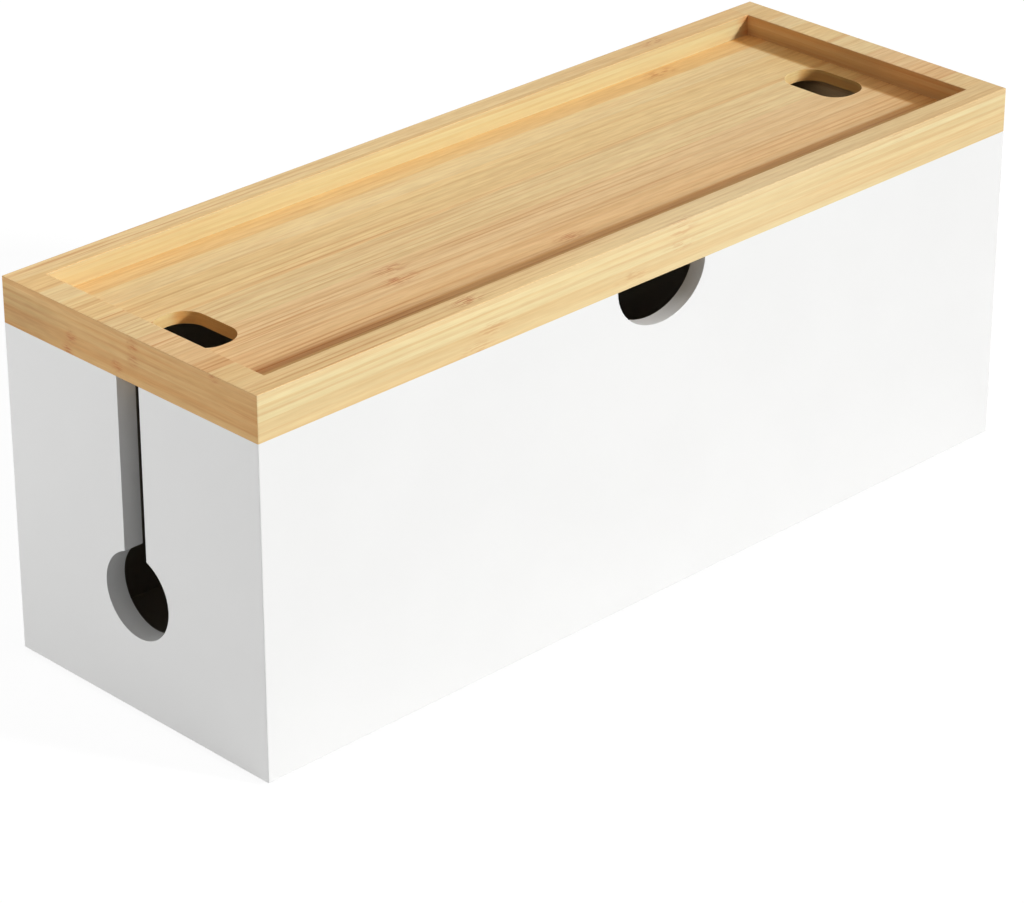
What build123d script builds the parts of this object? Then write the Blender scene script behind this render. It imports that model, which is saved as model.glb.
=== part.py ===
from build123d import *
import os

os.makedirs("parts", exist_ok=True)

# Cable management box: a painted board case for a power strip and its plugs, closed by a
# lift-off bamboo lid whose top is a shallow tray.
# Millimetres. +X is right, +Y is back, +Z is up. The origin is on the floor under the middle.

# Case: four walls with a bottom panel let into a step round their lower inner edge
case_length = 400.0         # outside, left to right
case_width = 139.0          # outside, front to back
case_height = 135.0         # the boards alone, without the pads
side_wall = 6.8             # front and back panels
end_wall = 8.5              # left and right panels
corner_round = 0.5          # eased upright corners of the case and of the lid above it
bottom_thickness = 5.0
step_depth = 3.4            # how far the bottom panel reaches into each wall
tongue_length = 4.0         # on each end of the front and back panels
tongue_thickness = 3.4
glue_gap = 0.2              # past the end of a tongue, and round the edge of a let-in panel

# Cable openings of the case
outlet_radius = 17.4        # round plug hole in each end panel
outlet_height = 48.7        # its centre above the underside of the case
outlet_slot_width = 12.2    # slot from the plug hole up to the top edge
notch_half_width = 23.5     # half ellipse in the top edge of the front panel
notch_depth = 19.3

# Brads, flat-sided wire nails that pin the bottom panel up into the walls
brad_width = 1.2            # along the wall
brad_gauge = 1.0            # across the wall
brad_grip = 9.0             # length inside the wall
long_side_brads = 5
long_side_brad_pitch = 86.0
short_side_brad_pitch = 70.0

# Anti-slip pads
pad_radius = 7.0
pad_height = 1.5
pad_inset = 18.0            # pad centre from the two nearest outer faces
pad_bevel = 0.4

# Lid: a mitred frame round a thin tray panel, flush with the case on all four sides
lid_height = 18.5
long_rail_width = 10.5      # front and back rails
short_rail_width = 12.7     # left and right rails
rim_round = 0.4             # eased top edges of the frame
tray_recess = 8.7           # from the rim down to the tray
tray_thickness = 4.9
tray_tongue = 2.4           # thinner edge of the tray panel, which sits in the rails' groove
groove_depth = 4.0          # how far that edge reaches into each rail
tray_slot_length = 33.3     # front to back
tray_slot_width = 21.3
tray_slot_corner = 9.2
tray_slot_inset = 19.0      # slot centre from the inner face of the nearest short rail

# Biscuits in the mitres of the lid frame
biscuit_length = 11.0       # along the mitre
biscuit_width = 7.0         # across it
biscuit_thickness = 2.4
biscuit_depth = 5.0         # its middle below the rim
biscuit_gap = 0.1

# Battens under the ends of the lid, which keep it in place inside the case
batten_width = 10.4         # left to right
batten_drop = 6.0           # below the underside of the lid
batten_clearance = 0.8      # to the case walls
batten_bevel = 1.0          # lead-in along the lower edges that face the walls

# Screws that hold the battens under the tray panel
screw_pitch = 80.0          # between the two screws of a batten
screw_radius = 1.4
screw_head_radius = 2.9
screw_grip = 2.8            # length inside the tray panel
screw_point = 1.6
screw_gap = 0.1             # round each screw
recess_span = 3.2           # cross recess in the head
recess_width = 0.8
recess_depth = 1.1

# Levels and faces that pieces share
case_base = pad_height
case_top = case_base + case_height
ledge = case_base + bottom_thickness
inner_half_length = case_length / 2 - end_wall
inner_half_width = case_width / 2 - side_wall
lid_top = case_top + lid_height
tray_top = lid_top - tray_recess
tray_base = tray_top - tray_thickness
rail_half_length = case_length / 2 - short_rail_width
rail_half_width = case_width / 2 - long_rail_width
underside_recess = tray_base - case_top

# Each corner as (-1 left or +1 right, -1 front or +1 back)
corners = {
    "front_left": (-1, -1),
    "front_right": (1, -1),
    "back_left": (-1, 1),
    "back_right": (1, 1),
}

# Brad lines run down the middle of the step, under each wall
brad_x = inner_half_length + step_depth / 2
brad_y = inner_half_width + step_depth / 2
brad_length = bottom_thickness + brad_grip


# Front and back panels: a tongue on each end fits the end panels, and the lower inner edge is
# stepped for the bottom panel. facing is -1 for the front panel and +1 for the back one.
def make_side_panel(facing):
    tongue_y = facing * (inner_half_width + tongue_thickness / 2)
    step_y = facing * (inner_half_width + step_depth / 2)
    tongue_span = 2 * (inner_half_length + tongue_length)
    with BuildPart() as panel:
        with BuildSketch(Plane.XY.offset(case_base)):
            with Locations((0, facing * (case_width - side_wall) / 2)):
                Rectangle(2 * inner_half_length, side_wall)
            with Locations((0, tongue_y)):
                Rectangle(tongue_span, tongue_thickness)
        extrude(amount=case_height)
        with BuildSketch(Plane.XY.offset(case_base)):
            with Locations((0, step_y)):
                Rectangle(tongue_span, step_depth)
        extrude(amount=bottom_thickness, mode=Mode.SUBTRACT)
        with BuildSketch(Plane((0, facing * brad_y, ledge))):
            with GridLocations(long_side_brad_pitch, 0, long_side_brads, 1):
                Rectangle(brad_width, brad_gauge)
        extrude(amount=brad_grip, mode=Mode.SUBTRACT)
    return panel


back_panel = make_side_panel(1)

with BuildPart() as front_panel:
    add(make_side_panel(-1).part)
    # The cable notch is half of an ellipse centred on the top edge.
    notch_plane = Plane(origin=(0, -case_width / 2, case_top), x_dir=(1, 0, 0), z_dir=(0, -1, 0))
    with BuildSketch(notch_plane):
        Ellipse(notch_half_width, notch_depth)
    extrude(amount=-side_wall, mode=Mode.SUBTRACT)

# End panels: full width, with an upright groove for each tongue and a stopped step for the
# bottom panel, so no joint shows on the outer face.
with BuildPart() as right_end_panel:
    with BuildSketch(Plane.XY.offset(case_base)) as end_plan:
        with Locations(((case_length - end_wall) / 2, 0)):
            Rectangle(end_wall, case_width)
        fillet(end_plan.vertices().group_by(Axis.X)[-1], radius=corner_round)
        groove_x = inner_half_length + (tongue_length + glue_gap) / 2
        for facing in (-1, 1):
            with Locations((groove_x, facing * (inner_half_width + tongue_thickness / 2))):
                Rectangle(tongue_length + glue_gap, tongue_thickness, mode=Mode.SUBTRACT)
    extrude(amount=case_height)
    with BuildSketch(Plane.XY.offset(case_base)):
        with Locations((inner_half_length + step_depth / 2, 0)):
            Rectangle(step_depth, 2 * (inner_half_width + step_depth))
    extrude(amount=bottom_thickness, mode=Mode.SUBTRACT)
    with BuildSketch(Plane((brad_x, 0, ledge))):
        with GridLocations(0, short_side_brad_pitch, 1, 2):
            Rectangle(brad_gauge, brad_width)
    extrude(amount=brad_grip, mode=Mode.SUBTRACT)
    # The keyhole lets a plug through the round part and its cable rest in the slot.
    keyhole_plane = Plane(
        origin=(case_length / 2, 0, case_base), x_dir=(0, 1, 0), z_dir=(1, 0, 0)
    )
    with BuildSketch(keyhole_plane):
        with Locations((0, outlet_height)):
            Circle(outlet_radius)
            Rectangle(
                outlet_slot_width,
                case_height - outlet_height,
                align=(Align.CENTER, Align.MIN),
            )
    extrude(amount=-end_wall, mode=Mode.SUBTRACT)

with BuildPart() as left_end_panel:
    mirror(right_end_panel.part, about=Plane.YZ)

# Bottom panel, flush with the underside of the walls
with BuildPart() as bottom_panel:
    with BuildSketch(Plane.XY.offset(case_base)):
        Rectangle(
            2 * (inner_half_length + step_depth - glue_gap),
            2 * (inner_half_width + step_depth - glue_gap),
        )
        with GridLocations(long_side_brad_pitch, 2 * brad_y, long_side_brads, 2):
            Rectangle(brad_width, brad_gauge, mode=Mode.SUBTRACT)
        with GridLocations(2 * brad_x, short_side_brad_pitch, 2, 2):
            Rectangle(brad_gauge, brad_width, mode=Mode.SUBTRACT)
    extrude(amount=bottom_thickness)

with BuildPart() as bottom_brads:
    with BuildSketch(Plane.XY.offset(case_base)):
        with GridLocations(long_side_brad_pitch, 2 * brad_y, long_side_brads, 2):
            Rectangle(brad_width, brad_gauge)
        with GridLocations(2 * brad_x, short_side_brad_pitch, 2, 2):
            Rectangle(brad_gauge, brad_width)
    extrude(amount=brad_length)

# Anti-slip pads, stuck under the bottom panel near its corners
pads = {}
for corner, (hand, facing) in corners.items():
    pad_x = hand * (case_length / 2 - pad_inset)
    pad_y = facing * (case_width / 2 - pad_inset)
    with BuildPart() as pad:
        with BuildSketch(Plane((pad_x, pad_y, 0))):
            Circle(pad_radius)
        extrude(amount=pad_height)
        chamfer(pad.edges().group_by(Axis.Z)[0], length=pad_bevel)
    pads[f"{corner}_pad"] = pad


# Biscuit, a flat lens that lies across a mitre. Its pocket is the same lens with some room.
def make_biscuit(hand, facing, room):
    middle = (
        hand * (case_length - short_rail_width) / 2,
        facing * (case_width - long_rail_width) / 2,
        lid_top - biscuit_depth - biscuit_thickness / 2,
    )
    along_mitre = (hand * short_rail_width, facing * long_rail_width, 0)
    tip = biscuit_length / 2 + room
    bulge = biscuit_width / 2 + room
    with BuildPart() as biscuit:
        with BuildSketch(Plane(origin=middle, x_dir=along_mitre, z_dir=(0, 0, 1))):
            with BuildLine():
                ThreePointArc((-tip, 0), (0, bulge), (tip, 0))
                ThreePointArc((tip, 0), (0, -bulge), (-tip, 0))
            make_face()
        extrude(amount=biscuit_thickness)
    return biscuit


biscuits = {}
pockets = {}
for corner, (hand, facing) in corners.items():
    biscuits[f"{corner}_biscuit"] = make_biscuit(hand, facing, 0)
    pockets[corner] = make_biscuit(hand, facing, biscuit_gap)


# Lid frame as one rounded, grooved ring, before its mitres part it into four rails
with BuildPart() as lid_frame:
    with BuildSketch(Plane.XY.offset(case_top)):
        RectangleRounded(case_length, case_width, corner_round)
        Rectangle(2 * rail_half_length, 2 * rail_half_width, mode=Mode.SUBTRACT)
    extrude(amount=lid_height)
    fillet(lid_frame.edges().group_by(Axis.Z)[-1], radius=rim_round)
    with BuildSketch(Plane.XY.offset(tray_base)):
        Rectangle(2 * (rail_half_length + groove_depth), 2 * (rail_half_width + groove_depth))
    extrude(amount=tray_tongue, mode=Mode.SUBTRACT)
    for pocket in pockets.values():
        add(pocket.part, mode=Mode.SUBTRACT)


# Point on the mitre line of a corner, so many rail widths out from the frame's inner corner
def mitre_point(corner, rail_widths):
    hand, facing = corners[corner]
    return (
        hand * (rail_half_length + rail_widths * short_rail_width),
        facing * (rail_half_width + rail_widths * long_rail_width),
    )


# Each rail is what the frame holds between the mitre lines of its two ends. The wedge between
# them starts one rail width inside the frame and ends one outside it.
rail_ends = {
    "lid_front_rail": ("front_left", "front_right"),
    "lid_back_rail": ("back_right", "back_left"),
    "lid_left_rail": ("back_left", "front_left"),
    "lid_right_rail": ("front_right", "back_right"),
}
rails = {}
for name, (start, end) in rail_ends.items():
    with BuildPart() as rail:
        add(lid_frame.part)
        with BuildSketch(Plane.XY.offset(case_top + lid_height / 2)):
            with BuildLine():
                Polyline(
                    mitre_point(start, -1),
                    mitre_point(start, 2),
                    mitre_point(end, 2),
                    mitre_point(end, -1),
                    close=True,
                )
            make_face()
        extrude(amount=lid_height, both=True, mode=Mode.INTERSECT)
    rails[name] = rail

# Battens: the upper part fills the end of the recess under the tray panel, and the lower part
# steps out under the rails to run close to the case walls.
batten_inner_x = inner_half_length - batten_clearance - batten_width
screw_x = (batten_inner_x + rail_half_length) / 2
with BuildPart() as lid_right_batten:
    with BuildSketch(Plane.XY.offset(case_top - batten_drop)):
        with Locations((batten_inner_x + batten_width / 2, 0)):
            Rectangle(batten_width, 2 * (inner_half_width - batten_clearance))
    extrude(amount=batten_drop)
    lower_edges = lid_right_batten.edges().group_by(Axis.Z)[0].sort_by(Axis.X)
    chamfer(lower_edges[1:], length=batten_bevel)
    with BuildSketch(Plane.XY.offset(case_top)):
        with Locations((screw_x, 0)):
            Rectangle(rail_half_length - batten_inner_x, 2 * rail_half_width)
    extrude(amount=underside_recess)
    with Locations(Plane(origin=(screw_x, 0, case_top - batten_drop), z_dir=(0, 0, -1))):
        with GridLocations(0, screw_pitch, 1, 2):
            CounterSinkHole(
                screw_radius + screw_gap,
                screw_head_radius + screw_gap,
                counter_sink_angle=90,
            )

with BuildPart() as lid_left_batten:
    mirror(lid_right_batten.part, about=Plane.YZ)

# Tray panel: its rebated edge sits in the grooves of the frame, its field fills the frame, and
# two rounded slots let charging cables up from the case.
with BuildPart() as lid_tray_panel:
    with BuildSketch(Plane.XY.offset(tray_base)):
        Rectangle(
            2 * (rail_half_length + groove_depth - glue_gap),
            2 * (rail_half_width + groove_depth - glue_gap),
        )
    extrude(amount=tray_tongue)
    with BuildSketch(Plane.XY.offset(tray_base)):
        Rectangle(2 * rail_half_length, 2 * rail_half_width)
    extrude(amount=tray_thickness)
    with BuildSketch(Plane.XY.offset(tray_base)):
        with GridLocations(2 * (rail_half_length - tray_slot_inset), 0, 2, 1):
            RectangleRounded(tray_slot_width, tray_slot_length, tray_slot_corner)
    extrude(amount=tray_thickness, mode=Mode.SUBTRACT)
    with BuildSketch(Plane.XY.offset(tray_base)):
        with GridLocations(2 * screw_x, screw_pitch, 2, 2):
            Circle(screw_radius + screw_gap)
    extrude(amount=screw_grip + screw_gap, mode=Mode.SUBTRACT)

# Countersunk screw, head down, with its head face on the floor plane
screw_length = batten_drop + underside_recess + screw_grip
with BuildPart() as screw:
    with BuildSketch(Plane.XZ):
        with BuildLine():
            Polyline(
                (0, 0),
                (screw_head_radius, 0),
                (screw_radius, screw_head_radius - screw_radius),
                (screw_radius, screw_length - screw_point),
                (0, screw_length),
                close=True,
            )
        make_face()
    revolve(axis=Axis.Z)
    with BuildSketch(Plane.XY):
        Rectangle(recess_span, recess_width)
        Rectangle(recess_width, recess_span)
    extrude(amount=recess_depth, mode=Mode.SUBTRACT)

with BuildPart(Plane.XY.offset(case_top - batten_drop)) as batten_screws:
    with GridLocations(2 * screw_x, screw_pitch, 2, 2):
        add(screw.part)

pieces = {
    "front_panel": front_panel,
    "back_panel": back_panel,
    "left_end_panel": left_end_panel,
    "right_end_panel": right_end_panel,
    "bottom_panel": bottom_panel,
    "bottom_brads": bottom_brads,
    **pads,
    **rails,
    "lid_tray_panel": lid_tray_panel,
    **biscuits,
    "lid_left_batten": lid_left_batten,
    "lid_right_batten": lid_right_batten,
    "batten_screws": batten_screws,
}
for name, piece in pieces.items():
    piece.part.label = name
    export_step(piece.part, f"parts/{name}.step")
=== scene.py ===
from math import pi, radians
from types import SimpleNamespace

import bpy
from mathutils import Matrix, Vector


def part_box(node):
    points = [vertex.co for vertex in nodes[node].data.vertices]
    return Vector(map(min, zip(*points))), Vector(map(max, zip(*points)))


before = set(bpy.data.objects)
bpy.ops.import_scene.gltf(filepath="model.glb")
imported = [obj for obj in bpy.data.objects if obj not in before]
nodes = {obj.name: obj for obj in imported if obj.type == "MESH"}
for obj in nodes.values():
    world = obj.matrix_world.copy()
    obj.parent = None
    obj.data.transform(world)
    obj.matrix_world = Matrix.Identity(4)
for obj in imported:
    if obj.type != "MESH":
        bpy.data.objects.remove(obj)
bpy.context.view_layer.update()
print("frame loaded with", len(nodes), "pieces")


# faces and levels that the finishes follow, read off the frame
railLow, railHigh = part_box("lid_left_rail")
trayLow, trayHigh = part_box("lid_tray_panel")
halfLength = -railLow[0]
halfWidth = railHigh[1]
innerHalfLength = -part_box("left_end_panel")[1][0]
innerHalfWidth = -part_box("front_panel")[1][1]
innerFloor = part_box("bottom_panel")[1][2]
innerRimX = -railHigh[0]
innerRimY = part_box("lid_back_rail")[0][1]
railBase = railLow[2]
rimTop = railHigh[2]
trayBase = trayLow[2]
trayTop = trayHigh[2]


# small helpers for node trees

noiseSpan = (0.3, 0.7)           # most values of a noise lie between these
noiseDrift = (1.0, 1.7, 2.3)     # a shift of 1 moves a noise this far along x, y and z


# Linear colour from the six digits that a colour picker shows
def fromHex(text):
    parts = [int(text[i:i + 2], 16) / 255 for i in (0, 2, 4)]
    linear = [p / 12.92 if p <= 0.04045 else ((p + 0.055) / 1.055) ** 2.4 for p in parts]
    return (*linear, 1.0)


def newMaterial(name):
    material = bpy.data.materials.new(name)
    material.use_nodes = True
    tree = material.node_tree
    return material, tree, tree.nodes["Principled BSDF"]


def feed(tree, socket, value):
    if isinstance(value, bpy.types.NodeSocket):
        tree.links.new(value, socket)
    else:
        socket.default_value = value


def mathNode(tree, operation, *values):
    node = tree.nodes.new("ShaderNodeMath")
    node.operation = operation
    for socket, value in zip(node.inputs, values):
        feed(tree, socket, value)
    return node.outputs[0]


def times(tree, *values):
    total = values[0]
    for value in values[1:]:
        total = mathNode(tree, "MULTIPLY", total, value)
    return total


def plus(tree, first, second):
    return mathNode(tree, "ADD", first, second)


def minus(tree, first, second):
    return mathNode(tree, "SUBTRACT", first, second)


def larger(tree, first, second):
    return mathNode(tree, "MAXIMUM", first, second)


def absolute(tree, value):
    return mathNode(tree, "ABSOLUTE", value)


def below(tree, value, limit):
    return mathNode(tree, "LESS_THAN", value, limit)


def above(tree, value, limit):
    return mathNode(tree, "GREATER_THAN", value, limit)


def within(tree, value, limit):
    return below(tree, absolute(tree, value), limit)


def opposite(tree, mask):
    return minus(tree, 1.0, mask)


def fadeNode(tree, value, start, end, low=0.0, high=1.0):
    node = tree.nodes.new("ShaderNodeMapRange")
    node.interpolation_type = "SMOOTHSTEP"
    for name, number in (("Value", value), ("From Min", start), ("From Max", end),
                         ("To Min", low), ("To Max", high)):
        feed(tree, node.inputs[name], number)
    return node.outputs["Result"]


def blendNumbers(tree, amount, first, second):
    node = tree.nodes.new("ShaderNodeMix")       # its first A and B are the plain numbers
    for name, number in (("Factor", amount), ("A", first), ("B", second)):
        feed(tree, node.inputs[name], number)
    return node.outputs[0]


def mixNode(tree, amount, first, second):
    node = tree.nodes.new("ShaderNodeMix")
    node.data_type = "RGBA"
    feed(tree, node.inputs["Factor"], amount)
    sides = [socket for socket in node.inputs if socket.type == "RGBA"]
    feed(tree, sides[0], first)
    feed(tree, sides[1], second)
    return [socket for socket in node.outputs if socket.type == "RGBA"][0]


def tintNode(tree, amount, colour, tint):
    tinted = mixNode(tree, amount, colour, tint)
    tinted.node.blend_type = "MULTIPLY"
    return tinted


def brightenNode(tree, colour, amount):
    node = tree.nodes.new("ShaderNodeHueSaturation")
    feed(tree, node.inputs["Value"], amount)
    feed(tree, node.inputs["Color"], colour)
    return node.outputs["Color"]


def splitNode(tree, vector):
    node = tree.nodes.new("ShaderNodeSeparateXYZ")
    tree.links.new(vector, node.inputs[0])
    return tuple(node.outputs)


def joinNode(tree, x, y, z):
    node = tree.nodes.new("ShaderNodeCombineXYZ")
    for socket, value in zip(node.inputs, (x, y, z)):
        feed(tree, socket, value)
    return node.outputs[0]


def objectPlace(tree):
    return tree.nodes.new("ShaderNodeTexCoord").outputs["Object"]


# The sizes are those of one grain of the noise, m
def noiseNode(tree, vector, sizes, shift=0.0, detail=2.0):
    mapping = tree.nodes.new("ShaderNodeMapping")
    feed(tree, mapping.inputs["Vector"], vector)
    mapping.inputs["Scale"].default_value = [1 / size for size in sizes]
    mapping.inputs["Location"].default_value = [shift * drift for drift in noiseDrift]
    noise = tree.nodes.new("ShaderNodeTexNoise")
    tree.links.new(mapping.outputs["Vector"], noise.inputs["Vector"])
    noise.inputs["Scale"].default_value = 1.0
    noise.inputs["Detail"].default_value = detail
    return noise.outputs["Fac"]


def bumpNode(tree, height, depth):
    bump = tree.nodes.new("ShaderNodeBump")
    bump.inputs["Distance"].default_value = depth
    feed(tree, bump.inputs["Height"], height)
    return bump.outputs["Normal"]


# camera

studioCamera = {
    "place": (-1.0030, -1.0068, 0.7572),
    "azimuth": 44.61,      # degrees, from +Y towards +X
    "elevation": 26.85,    # degrees that it looks down
    "lens": 142.19,        # mm, on a 36 mm sensor
}


def addCamera(view):
    camera = bpy.data.objects.new("studioCamera", bpy.data.cameras.new("studioCamera"))
    camera.location = view["place"]
    camera.rotation_euler = (radians(90 - view["elevation"]), 0, -radians(view["azimuth"]))
    camera.data.lens = view["lens"]
    bpy.context.collection.objects.link(camera)
    bpy.context.scene.camera = camera


addCamera(studioCamera)
print("camera placed")


# lamps, sky and floor

studioSuns = {
    "keySun": {"towards": (1.15, -2.25, 1.0), "level": 2.78, "spread": 7},
    "sideSun": {"towards": (1.15, -0.10, 1.0), "level": 0.20, "spread": 6},
}
lowLamp = {                # a long low panel beside the box, under the height of its lid
    "place": (-1.10, 0.62, 0.06),
    "size": (1.30, 0.12),
    "level": 6.1,
}
studioSky = {"overhead": 0.70, "around": 0.05, "seen": 1.0}
studioFloor = {
    "size": 8.0,           # m
    "colour": "CCCCCC",
    "roughness": 0.9,
    "seenWhite": 0.8,      # share of plain white in what is seen of it
    "seenLevel": 1.15,     # brightness of that white
}


def addLamp(name, kind, level):
    light = bpy.data.lights.new(name, kind)
    light.energy = level
    holder = bpy.data.objects.new(name, light)
    bpy.context.collection.objects.link(holder)
    return light, holder


def addSun(name, lamp):
    sun, holder = addLamp(name, "SUN", lamp["level"])
    sun.angle = radians(lamp["spread"])
    holder.rotation_euler = Vector(lamp["towards"]).to_track_quat("Z", "Y").to_euler()
    holder.location = Vector(lamp["towards"])


def addPanelLamp(name, lamp):
    panel, holder = addLamp(name, "AREA", lamp["level"])
    panel.shape = "RECTANGLE"
    panel.size, panel.size_y = lamp["size"]
    holder.rotation_euler = (pi / 2, 0, -pi / 2)    # it shines towards +X
    holder.location = lamp["place"]


# 1 where the camera sees a thing, also in a gloss or through glass, and 0 where it only gives light
def seenDirectly(tree):
    path = tree.nodes.new("ShaderNodeLightPath")
    direct = larger(tree, path.outputs["Is Camera Ray"], path.outputs["Is Glossy Ray"])
    return larger(tree, direct, path.outputs["Is Transmission Ray"])


# The sky is brightest straight overhead, as under a wide soft box
def addSky(setup):
    world = bpy.data.worlds.new("studioSky")
    world.use_nodes = True
    tree = world.node_tree
    background = tree.nodes["Background"]
    background.inputs["Color"].default_value = (1, 1, 1, 1)
    place = tree.nodes.new("ShaderNodeTexCoord").outputs["Generated"]
    height = larger(tree, splitNode(tree, place)[2], 0.0)
    light = plus(tree, times(tree, height, height, setup["overhead"]), setup["around"])
    seen = seenDirectly(tree)
    unseen = opposite(tree, seen)
    level = plus(tree, times(tree, unseen, light), times(tree, seen, setup["seen"]))
    feed(tree, background.inputs["Strength"], level)
    bpy.context.scene.world = world


def floorMaterial(name, setup):
    material, tree, shader = newMaterial(name)
    shader.inputs["Base Color"].default_value = fromHex(setup["colour"])
    shader.inputs["Roughness"].default_value = setup["roughness"]
    shader.inputs["Specular IOR Level"].default_value = 0.0
    glow = tree.nodes.new("ShaderNodeEmission")
    glow.inputs["Strength"].default_value = setup["seenLevel"]
    blend = tree.nodes.new("ShaderNodeMixShader")
    feed(tree, blend.inputs["Fac"], times(tree, seenDirectly(tree), setup["seenWhite"]))
    tree.links.new(shader.outputs[0], blend.inputs[1])
    tree.links.new(glow.outputs[0], blend.inputs[2])
    tree.links.new(blend.outputs[0], tree.nodes["Material Output"].inputs["Surface"])
    return material


def addFloor(setup):
    half = setup["size"] / 2
    corners = [(-half, -half, 0), (half, -half, 0), (half, half, 0), (-half, half, 0)]
    mesh = bpy.data.meshes.new("studioFloor")
    mesh.from_pydata(corners, [], [(0, 1, 2, 3)])
    mesh.materials.append(floorMaterial("paleFloor", setup))
    floor = bpy.data.objects.new("studioFloor", mesh)
    bpy.context.collection.objects.link(floor)


for lampName, lamp in studioSuns.items():
    addSun(lampName, lamp)
addPanelLamp("lowLamp", lowLamp)
addSky(studioSky)
addFloor(studioFloor)
bpy.context.scene.view_settings.view_transform = "Standard"
print("studio lit")


# bamboo

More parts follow.
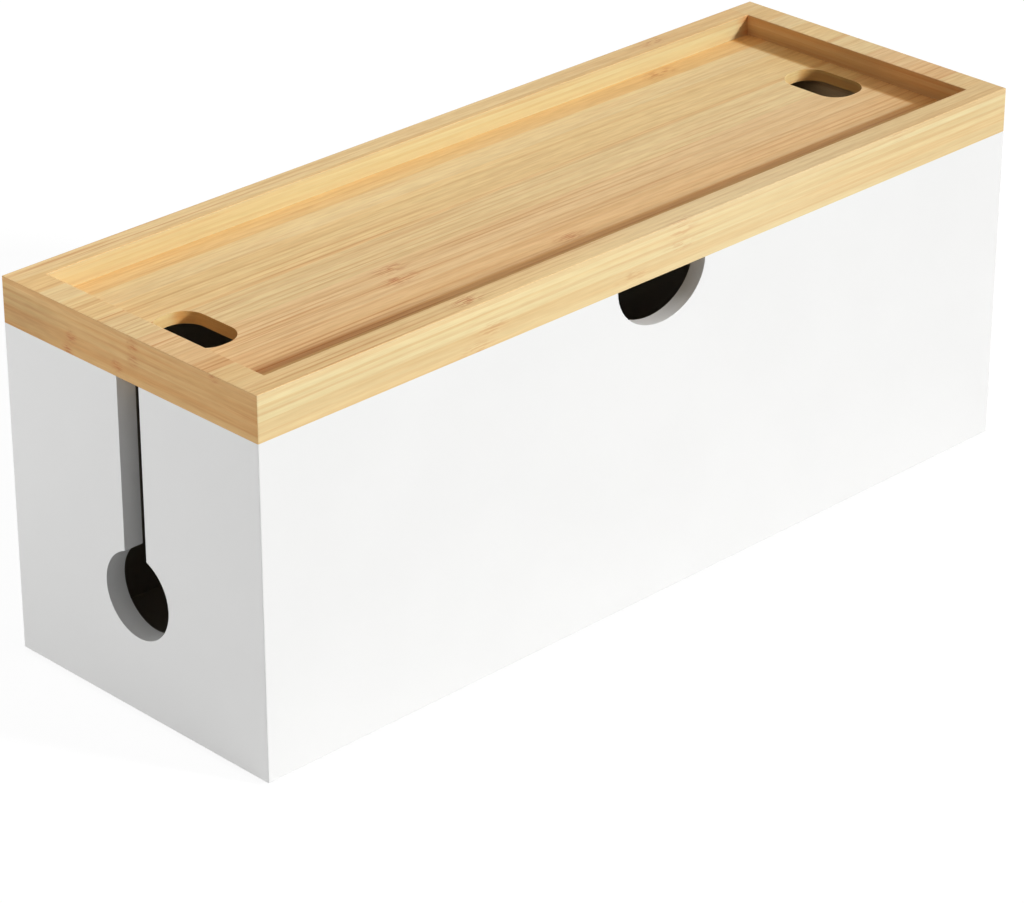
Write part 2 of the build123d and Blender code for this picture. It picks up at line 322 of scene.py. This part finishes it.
bamboo = {
    "slats": [             # m from the front edge, colour, and how much the slat is lined
        (0.0, "F8D79C", 0.7),
        (0.0245, "F6CC93", 1.05),
        (0.0425, "F9D49D", 1.10),
        (0.0630, "FADDA4", 0.75),
        (0.0825, "F7D094", 1.0),
        (0.0850, "FAD99C", 0.52),
        (0.1055, "FADEA6", 0.42),
        (0.1175, "F6D193", 0.6),
        (0.1305, "FBDBA1", 0.7),
    ],
    "sideBands": [         # the same for the upright faces, m up from the foot of the lid
        (0.0, "EAD39F", 0.40),
        (0.0026, "E6CC98", 0.40),
        (0.0080, "EBD8A5", 0.45),
        (0.0104, "E7D09D", 0.45),
        (0.0122, "E9D4A0", 0.45),
        (0.0142, "ECDAA8", 0.45),
        (0.0163, "EAD3A0", 0.45),
        (0.0177, "E6CE9E", 0.45),
    ],
    "noises": {            # size, m; shift; detail; where the mask starts and where it is full
        "cloud": ((0.200, 0.018, 0.006), 3.1, 1.0, 0.30, 0.70),
        "streaks": ((0.180, 0.0032, 0.0028), 7.7, 2.0, 0.40, 0.66),
        "lines": ((0.120, 0.0016, 0.0013), 1.3, 1.0, 0.52, 0.66),
        "patches": ((0.140, 0.0100, 0.0060), 5.9, 1.0, 0.34, 0.62),
        "breaks": ((0.090, 0.0030, 0.0024), 6.1, 1.0, 0.40, 0.58),
        "blotches": ((0.040, 0.0070, 0.0050), 9.7, 1.0, 0.48, 0.70),
        "flecks": ((0.010, 0.0011, 0.0009), 5.2, 1.0, 0.30, 0.70),
        "fibres": ((0.020, 0.0006, 0.0006), 2.2, 2.0, 0.30, 0.70),
        "dashes": ((0.0050, 0.0006, 0.0006), 4.4, 1.0, 0.48, 0.58),
    },
    "faces": {
        "flat": (0.5, 0.9),          # part of the normal that points up or down
        "endwise": 0.7,              # part of it that points along the box, either way
        "turned": (-0.55, -0.05),    # the same, to the left only
        "skin": 0.005,               # m, what lies deeper than this in the lid is inner
        "slack": 0.0001,             # m
    },
    "figureLevel": 0.150,        # flat faces all cut the figure at this height
    "endSqueeze": 1.3,           # the figure is this much shorter on the end faces
    # on flat faces the lines fade over these stretches, to the right and there to the back, m
    "fadeSpan": (-0.17, 0.05),
    "fadeAcross": (-0.01, 0.02),
    "liveliness": {"left": 1.08, "rightFront": 0.50, "rightBack": 0.30, "sides": 0.7, "ends": 0.9},
    "comb": {
        "spacing": 0.0027,
        "warp": 6.8,
        "warpSize": (0.120, 0.006, 0.006),
        "warpShift": 8.3,
        "edge": (0.0, 0.9),
        "share": 0.62,
    },
    "lineShare": 0.34,
    "patchShare": (0.3, 1.0),    # how much of the lines shows between and on the patches
    "streakShare": {"all": 0.14, "lined": 0.14, "ends": 0.16},
    "blotchShare": 0.10,
    "fleckShare": {"flat": 0.10, "sides": 0.05, "ends": 0.08},
    "fleckLight": {"flat": 0.056, "sides": 0.024, "ends": 0.050},    # from the darkest to the lightest
    "lineColour": "C87C38",
    "streakColour": "D69E58",
    "blotchColour": "E8B27C",
    "knuckleColour": "BC5E2C",
    "knuckleSpread": (0.0085, 0.0036, 0.0028),
    "knuckleReach": 1.5,         # in spreads
    "knuckleSoft": {"flat": 0.04, "sides": 0.02, "ends": 0.20},
    "knuckleDashed": {"flat": 0.75, "sides": 0.34, "ends": 0.48},
    "knuckles": [          # where the stem's joints show, m, and how strongly
        (-0.0960, -0.0638, 0.1500, 0.9),
        (0.1360, 0.0657, 0.1500, 0.6),
        (0.1290, 0.0544, 0.1500, 0.7),
        (-0.0840, -0.0108, 0.1500, 0.9),
        (-0.0870, -0.0200, 0.1500, 1.0),
        (-0.0155, -0.0360, 0.1500, 0.8),
        (0.0103, -0.0695, 0.1516, 0.9),      # from here on the front and the left end face
        (0.0103, -0.0695, 0.1457, 0.7),
        (-0.0885, -0.0695, 0.1436, 0.8),
        (-0.0950, -0.0695, 0.1380, 0.9),
        (-0.0154, -0.0695, 0.1406, 0.7),
        (0.1360, -0.0695, 0.1545, 0.7),
    ],
    "brightness": 1.015,
    "cloudLight": (-0.03, 0.02),
    "fibreLight": (-0.02, 0.02),
    # slow changes of brightness over these stretches, m: painted light and shade
    "paintedShadeRight": {"along": (-0.05, 0.19), "by": -0.055},         # flat faces
    "paintedLightBackLeft": {"along": (-0.21, -0.02), "across": (-0.02, 0.05), "by": 0.085},    # the rim
    "paintedShadeFrontEnds": {"along": (0.06, 0.20), "by": -0.045},      # the front face, to both sides
    "paintedShadeEndBacks": {"across": (0.02, 0.06), "up": (0.150, 0.153), "by": -0.16},    # the end faces
    "innerEndPaintedLight": {"up": (0.1475, 0.1520), "by": (-0.12, 0.08)},    # painted shade at the foot of the inner end faces inside the rim, painted light at their top
    "paleFront": {"rise": (-0.08, 0.03), "fall": (0.06, 0.17), "colour": "F4E6BE"},
    "paleShare": {"flat": 0.27, "sides": 0.12, "ends": 0.0},
    "warmBack": {"along": (0.06, 0.14), "across": (0.0470, 0.0490), "tint": "FDF7F0"},
    "uprightShades": {             # painted light and shade of the upright faces, by which way they face and where they lie
        "front": "FFFFFF",
        "end": "F0DAC5",
        "inner": "EDF0ED",
        "innerEnd": "FEE2CC",
        "corner": "E8C6AA",      # painted shadow of the right rail where an inner face meets it
        "slot": "F9F2E2",
        "slotEnd": "FFDDB4",
        "under": "D2C9D2",       # painted shade below the tray panel
    },
    "rightRailShadowReach": 0.0088,       # m
    "railShadowTint": "F0DABA",        # painted shadow of the right and front rails on the tray's floor
    "railShadowReach": (0.011, 0.020),
    "railShadowEdge": 0.002,
    "roughness": (0.52, 0.44),   # between the fibres and on them
    "specular": 0.15,
    "grainDepth": 0.000008,
}


# Where a point of the lid lies and which way it faces, mostly as masks
def lidFaces(tree, limits):
    coords = tree.nodes.new("ShaderNodeTexCoord")
    x, y, z = splitNode(tree, coords.outputs["Object"])
    facingX, _, facingZ = splitNode(tree, coords.outputs["Normal"])
    flat = fadeNode(tree, absolute(tree, facingZ), *limits["flat"])
    endwise = above(tree, absolute(tree, facingX), limits["endwise"])
    inner = times(tree, within(tree, x, halfLength - limits["skin"]),
                  within(tree, y, halfWidth - limits["skin"]))
    return SimpleNamespace(
        x=x, y=y, z=z, flat=flat, upright=opposite(tree, flat), endwise=endwise, inner=inner,
        outerEnd=times(tree, endwise, opposite(tree, inner)),
        innerEnd=times(tree, endwise, inner),
        front=below(tree, y, -innerRimY - limits["slack"]),
        turned=fadeNode(tree, facingX, *limits["turned"], 1.0, 0.0),
    )


def pickByFace(tree, face, numbers):
    upright = blendNumbers(tree, face.outerEnd, numbers["sides"], numbers["ends"])
    return blendNumbers(tree, face.flat, upright, numbers["flat"])


# Place in the grain, across it and along it; the grain turns the corner onto the end faces
def grainPlace(tree, face, level, squeeze):
    along = blendNumbers(tree, face.endwise, face.x, times(tree, face.y, -squeeze))
    aside = blendNumbers(tree, face.endwise, face.y, times(tree, face.x, halfWidth / halfLength))
    height = blendNumbers(tree, face.flat, face.z, level)
    return joinNode(tree, along, aside, height), blendNumbers(tree, face.flat, height, aside), along


def noiseMasks(tree, vector, noises):
    masks = {}
    for name, (size, shift, detail, start, full) in noises.items():
        masks[name] = fadeNode(tree, noiseNode(tree, vector, size, shift, detail), start, full)
    return SimpleNamespace(**masks)


# Stepped colours, with how much each step is lined kept in the alpha
def bandColour(tree, place, bands, reach):
    ramp = tree.nodes.new("ShaderNodeValToRGB")
    ramp.color_ramp.interpolation = "CONSTANT"
    feed(tree, ramp.inputs[0], mathNode(tree, "DIVIDE", place, reach))
    marks = ramp.color_ramp.elements
    while len(marks) < len(bands):
        marks.new(1.0)
    for mark, (start, colour, lined) in zip(marks, bands):
        mark.position = start / reach
        mark.color = (*fromHex(colour)[:3], lined)
    return ramp.outputs["Color"], ramp.outputs["Alpha"]


# The wood before its grain, and how much it is lined
def plainWood(tree, face, along, setup):
    across = plus(tree, face.y, halfWidth)
    topColour, topLined = bandColour(tree, across, setup["slats"], 2 * halfWidth)
    rise = minus(tree, face.z, railBase)
    sideColour, sideLined = bandColour(tree, rise, setup["sideBands"], rimTop - railBase)
    lively = setup["liveliness"]
    right = fadeNode(tree, face.y, *setup["fadeAcross"], lively["rightFront"], lively["rightBack"])
    topLively = fadeNode(tree, along, *setup["fadeSpan"], lively["left"], right)
    sideLively = blendNumbers(tree, face.outerEnd, lively["sides"], lively["ends"])
    lined = blendNumbers(tree, face.flat, times(tree, sideLined, sideLively),
                         times(tree, topLined, topLively))
    return mixNode(tree, face.flat, sideColour, topColour), lined


# Evenly spaced fine lines that wander and break off
def combMask(tree, vector, across, noise, setup):
    wander = noiseNode(tree, vector, setup["warpSize"], setup["warpShift"], detail=1.0)
    turn = times(tree, across, 2 * pi / setup["spacing"])
    turn = plus(tree, turn, times(tree, wander, setup["warp"]))
    return times(tree, fadeNode(tree, mathNode(tree, "SINE", turn), *setup["edge"]), noise.breaks)


def knuckleMask(tree, vector, setup):
    spread = setup["knuckleSpread"]
    total = 0.0
    for *place, strength in setup["knuckles"]:
        offset = tree.nodes.new("ShaderNodeMapping")
        feed(tree, offset.inputs["Vector"], vector)
        offset.inputs["Scale"].default_value = [1 / size for size in spread]
        offset.inputs["Location"].default_value = [-p / size for p, size in zip(place, spread)]
        reach = tree.nodes.new("ShaderNodeVectorMath")
        reach.operation = "LENGTH"
        tree.links.new(offset.outputs[0], reach.inputs[0])
        near = fadeNode(tree, reach.outputs["Value"], 0.0, setup["knuckleReach"], strength, 0.0)
        total = larger(tree, total, near)
    return total


def addGrain(tree, colour, face, noise, comb, lined, setup):
    share = setup["streakShare"]
    streaked = plus(tree, times(tree, lined, share["lined"]), times(tree, face.outerEnd, share["ends"]))
    streaked = times(tree, noise.streaks, plus(tree, streaked, share["all"]))
    colour = mixNode(tree, streaked, colour, fromHex(setup["streakColour"]))
    flecked = times(tree, opposite(tree, noise.flecks), pickByFace(tree, face, setup["fleckShare"]))
    colour = mixNode(tree, flecked, colour, fromHex(setup["streakColour"]))
    blotched = times(tree, noise.blotches, face.flat, setup["blotchShare"])
    colour = mixNode(tree, blotched, colour, fromHex(setup["blotchColour"]))
    visible = times(tree, blendNumbers(tree, noise.patches, *setup["patchShare"]), lined)
    for mask, strength in ((noise.lines, setup["lineShare"]), (comb, setup["comb"]["share"])):
        drawn = times(tree, mask, visible, strength)
        colour = mixNode(tree, drawn, colour, fromHex(setup["lineColour"]))
    return colour


def addKnuckles(tree, colour, face, noise, vector, setup):
    soft = pickByFace(tree, face, setup["knuckleSoft"])
    dashed = pickByFace(tree, face, setup["knuckleDashed"])
    spots = plus(tree, times(tree, noise.dashes, dashed), soft)
    shown = times(tree, knuckleMask(tree, vector, setup), spots, opposite(tree, face.innerEnd))
    return mixNode(tree, shown, colour, fromHex(setup["knuckleColour"]))


# Brightness of the wood, which its figure and slow changes of painted light and shade make up
def woodLevel(tree, face, noise, setup):
    fleck = minus(tree, noise.flecks, 0.5)
    onRim = times(tree, face.flat, above(tree, face.z, (trayTop + rimTop) / 2))
    right = setup["paintedShadeRight"]
    backLeft = setup["paintedLightBackLeft"]
    frontEnds = setup["paintedShadeFrontEnds"]
    endBacks = setup["paintedShadeEndBacks"]
    innerEnd = setup["innerEndPaintedLight"]
    changes = (
        blendNumbers(tree, noise.cloud, *setup["cloudLight"]),
        blendNumbers(tree, noise.fibres, *setup["fibreLight"]),
        times(tree, fleck, pickByFace(tree, face, setup["fleckLight"])),
        # painted light and shade: darker to the right, lighter at the back left of the rim, darker at
        # the front's ends and at the back of the end faces
        times(tree, face.flat, fadeNode(tree, face.x, *right["along"], 0.0, right["by"])),
        times(tree, onRim, fadeNode(tree, face.x, *backLeft["along"], backLeft["by"], 0.0),
              fadeNode(tree, face.y, *backLeft["across"])),
        times(tree, face.upright, face.front, opposite(tree, face.endwise),
              fadeNode(tree, absolute(tree, face.x), *frontEnds["along"], 0.0, frontEnds["by"])),
        times(tree, face.upright, face.outerEnd,
              fadeNode(tree, face.y, *endBacks["across"], 0.0, endBacks["by"]),
              fadeNode(tree, face.z, *endBacks["up"], 1.0, 0.0)),
        # painted shade at the foot of the inner end faces, painted light at their top
        times(tree, face.innerEnd, face.upright, above(tree, face.z, trayTop),
              fadeNode(tree, face.z, *innerEnd["up"], *innerEnd["by"])),
    )
    level = setup["brightness"]
    for change in changes:
        level = plus(tree, level, change)
    return level


# A pale stretch of the front rail and a warm one at the back on the right
def addTones(tree, colour, face, setup):
    pale = setup["paleFront"]
    warm = setup["warmBack"]
    paled = times(tree, face.front, fadeNode(tree, face.x, *pale["rise"]),
                  fadeNode(tree, face.x, *pale["fall"], 1.0, 0.0),
                  pickByFace(tree, face, setup["paleShare"]))
    colour = mixNode(tree, paled, colour, fromHex(pale["colour"]))
    warmed = times(tree, face.flat, fadeNode(tree, face.x, *warm["along"]),
                   fadeNode(tree, face.y, *warm["across"]), below(tree, face.x, innerRimX))
    return tintNode(tree, warmed, colour, fromHex(warm["tint"]))


# Painted light and shade of the upright faces: outer sides and ends, inner ones, the corner in the right
# rail's shadow and the walls of the tray slots each have a tint, and the wood below the tray panel is
# darker
def uprightPaintedShade(tree, face, setup):
    tint = {name: fromHex(text) for name, text in setup["uprightShades"].items()}
    side = mixNode(tree, face.inner, tint["front"], tint["inner"])
    inRightRailShadow = fadeNode(tree, face.x, innerRimX - setup["rightRailShadowReach"], innerRimX)
    side = mixNode(tree, times(tree, face.inner, inRightRailShadow), side, tint["corner"])
    end = mixNode(tree, face.inner, tint["end"], tint["innerEnd"])
    rim = mixNode(tree, face.endwise, side, end)
    slot = mixNode(tree, face.turned, tint["slot"], tint["slotEnd"])
    slot = mixNode(tree, below(tree, face.z, trayBase), slot, tint["under"])
    return mixNode(tree, times(tree, face.inner, below(tree, face.z, trayTop)), rim, slot)


# Where the shadows of the right and front rails are painted on the tray's floor
def railShadowMask(tree, face, setup):
    inTray = times(tree, within(tree, face.x, innerRimX), within(tree, face.y, innerRimY))
    fromRight = minus(tree, innerRimX, face.x)
    fromFront = plus(tree, face.y, innerRimY)
    railShadows = [fadeNode(tree, distance, reach - setup["railShadowEdge"], reach, 1.0, 0.0)
            for distance, reach in zip((fromRight, fromFront), setup["railShadowReach"])]
    return times(tree, larger(tree, *railShadows), inTray, face.flat)


def bambooMaterial(name, setup):
    material, tree, shader = newMaterial(name)
    face = lidFaces(tree, setup["faces"])
    vector, across, along = grainPlace(tree, face, setup["figureLevel"], setup["endSqueeze"])
    knuckleVector = grainPlace(tree, face, setup["figureLevel"], halfLength / halfWidth)[0]
    noise = noiseMasks(tree, vector, setup["noises"])
    comb = combMask(tree, vector, across, noise, setup["comb"])

    colour, lined = plainWood(tree, face, along, setup)
    colour = addGrain(tree, colour, face, noise, comb, lined, setup)
    colour = addKnuckles(tree, colour, face, noise, knuckleVector, setup)
    colour = addTones(tree, colour, face, setup)
    colour = brightenNode(tree, colour, woodLevel(tree, face, noise, setup))
    # painted light and shade of the upright faces
    colour = tintNode(tree, face.upright, colour, uprightPaintedShade(tree, face, setup))
    # painted shadow of the right and front rails on the tray
    colour = tintNode(tree, railShadowMask(tree, face, setup), colour, fromHex(setup["railShadowTint"]))

    feed(tree, shader.inputs["Base Color"], colour)
    feed(tree, shader.inputs["Roughness"], blendNumbers(tree, noise.fibres, *setup["roughness"]))
    shader.inputs["Specular IOR Level"].default_value = setup["specular"]
    feed(tree, shader.inputs["Normal"], bumpNode(tree, noise.fibres, setup["grainDepth"]))
    return material


bambooFinish = bambooMaterial("bamboo", bamboo)
print("bamboo made")


# white paint outside, bare brown board inside

casePaint = {
    "colour": "ECECEB",
    "insideColour": "9C968C",
    "specular": 0.4,
    "roughness": (0.38, 0.46),
    "insideRoughness": 0.4,      # added to that of the paint
    "peelSize": 0.0009,
    "peelShift": 0.7,
    "peelDepth": 0.00001,
    "patchSize": 0.05,           # of the broad patches that are a touch darker, m
    "patchShift": 1.9,
    "patchLight": (0.985, 1.0),
    "wallLip": 0.00005,          # the brown reaches this far past the inner faces, m
    "floorLip": 0.0002,
}


def paintMaterial(name, setup):
    material, tree, shader = newMaterial(name)
    place = objectPlace(tree)
    x, y, z = splitNode(tree, place)
    inside = times(tree, within(tree, x, innerHalfLength + setup["wallLip"]),
                   within(tree, y, innerHalfWidth + setup["wallLip"]),
                   above(tree, z, innerFloor - setup["floorLip"]))
    peel = noiseNode(tree, place, [setup["peelSize"]] * 3, setup["peelShift"])
    patch = noiseNode(tree, place, [setup["patchSize"]] * 3, setup["patchShift"])
    patchLight = fadeNode(tree, patch, *noiseSpan, *setup["patchLight"])
    white = brightenNode(tree, fromHex(setup["colour"]), patchLight)
    feed(tree, shader.inputs["Base Color"], mixNode(tree, inside, white, fromHex(setup["insideColour"])))
    rough = fadeNode(tree, peel, *noiseSpan, *setup["roughness"])
    rougher = times(tree, inside, setup["insideRoughness"])
    feed(tree, shader.inputs["Roughness"], plus(tree, rough, rougher))
    shader.inputs["Specular IOR Level"].default_value = setup["specular"]
    feed(tree, shader.inputs["Normal"], bumpNode(tree, peel, setup["peelDepth"]))
    return material


paintFinish = paintMaterial("casePaint", casePaint)
print("paint made")


# rubber pads

padRubber = {
    "colour": "26262A",
    "dustColour": "6A6A6A",
    "dustSpan": (0.4, 0.7),      # of the grain
    "dustShare": 0.12,
    "roughness": (0.75, 0.90),
    "grainSize": 0.0006,
    "grainDetail": 3.0,
    "grainDepth": 0.00003,
}


def rubberMaterial(name, setup):
    material, tree, shader = newMaterial(name)
    grain = noiseNode(tree, objectPlace(tree), [setup["grainSize"]] * 3, detail=setup["grainDetail"])
    dust = fadeNode(tree, grain, *setup["dustSpan"], 0.0, setup["dustShare"])
    colour = mixNode(tree, dust, fromHex(setup["colour"]), fromHex(setup["dustColour"]))
    feed(tree, shader.inputs["Base Color"], colour)
    feed(tree, shader.inputs["Roughness"], fadeNode(tree, grain, *noiseSpan, *setup["roughness"]))
    feed(tree, shader.inputs["Normal"], bumpNode(tree, grain, setup["grainDepth"]))
    return material


rubberFinish = rubberMaterial("padRubber", padRubber)
print("rubber made")


# screws and brads

plainSteel = {
    "colour": "B9BBBE",
    "scratchColour": "8E8F92",
    "scratchSize": (0.0012, 0.0001, 0.0001),
    "roughness": (0.25, 0.42),
}


def steelMaterial(name, setup):
    material, tree, shader = newMaterial(name)
    scratch = noiseNode(tree, objectPlace(tree), setup["scratchSize"])
    colour = mixNode(tree, scratch, fromHex(setup["colour"]), fromHex(setup["scratchColour"]))
    feed(tree, shader.inputs["Base Color"], colour)
    shader.inputs["Metallic"].default_value = 1.0
    feed(tree, shader.inputs["Roughness"], fadeNode(tree, scratch, *noiseSpan, *setup["roughness"]))
    return material


steelFinish = steelMaterial("plainSteel", plainSteel)
print("steel made")


# which piece gets which finish

def finishFor(name):
    if name.endswith("_pad"):
        return rubberFinish
    if name in ("bottom_brads", "batten_screws"):
        return steelFinish
    if name.startswith("lid_") or name.endswith("_biscuit"):
        return bambooFinish
    return paintFinish


for name, piece in nodes.items():
    piece.data.materials.clear()
    piece.data.materials.append(finishFor(name))
print("finishes given")
